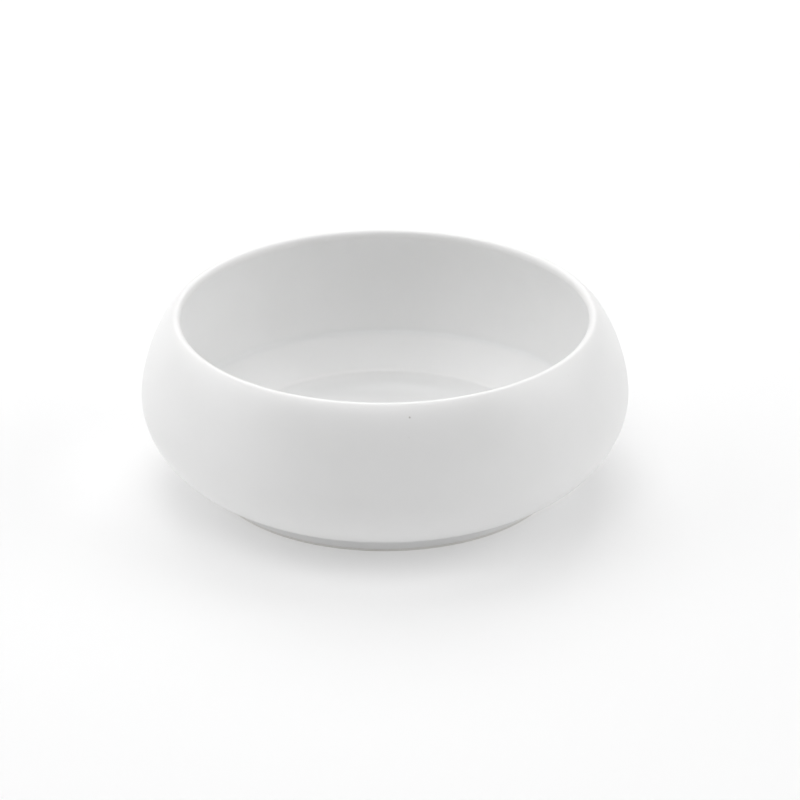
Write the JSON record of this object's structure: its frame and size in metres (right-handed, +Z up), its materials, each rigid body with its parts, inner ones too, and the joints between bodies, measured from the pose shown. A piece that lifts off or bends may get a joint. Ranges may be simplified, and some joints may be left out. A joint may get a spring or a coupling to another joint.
{
  "type": "porcelain crucible",
  "caption": "Low round glazed porcelain crucible with bulging sides, a small foot, a drawn-in rounded lip, and a sloping step down to a recessed floor inside.",
  "frame": {"origin": "on the vessel's axis, in the plane that its foot rests on", "axes": "+Z up along the vessel's axis, out of its mouth; +X and +Y are alike, because the vessel is round"},
  "size_m": [0.12, 0.12, 0.044],
  "materials": {
    "glazed_porcelain": "smooth clear glaze over white porcelain, soft gloss, with a bare ground ring under the foot"
  },
  "bodies": {
    "root": {"crucible_body": "glazed_porcelain"}
  },
  "joints": []
}
